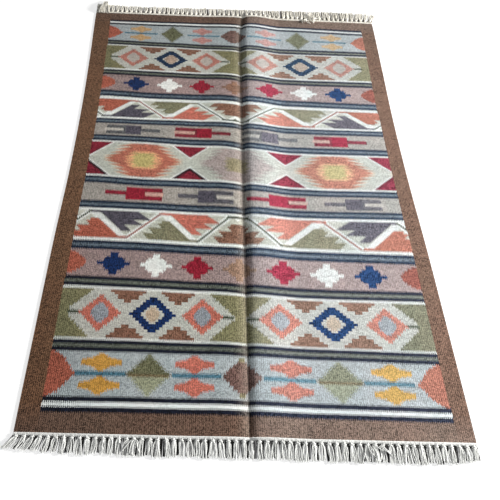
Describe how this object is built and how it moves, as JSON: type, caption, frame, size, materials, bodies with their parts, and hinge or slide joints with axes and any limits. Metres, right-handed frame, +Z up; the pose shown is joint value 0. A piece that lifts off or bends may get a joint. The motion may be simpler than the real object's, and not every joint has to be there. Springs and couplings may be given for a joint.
{
  "type": "dhurrie rug",
  "caption": "Flat-woven dhurrie rug lying on the floor, with a lengthwise fold crease, banded geometric motifs, a plain border and a knotted fringe at each end.",
  "frame": {"origin": "on the floor, under the middle of the rug", "axes": "+Z up from the floor; +Y along the rug's length, along its warps; +X across it, along its bands"},
  "size_m": [1.2632, 1.9551, 0.0176],
  "materials": {
    "woven_wool": "matt wool tapestry weave on cotton warps, ribbed along the rug, in brown, slate, cream, orange, crimson, olive and navy",
    "fringe_cotton": "matt undyed cotton warp yarn, loosely plied"
  },
  "bodies": {
    "root": {"rug_cloth": "woven_wool", "fringe_near": "fringe_cotton", "fringe_far": "fringe_cotton"}
  },
  "joints": []
}
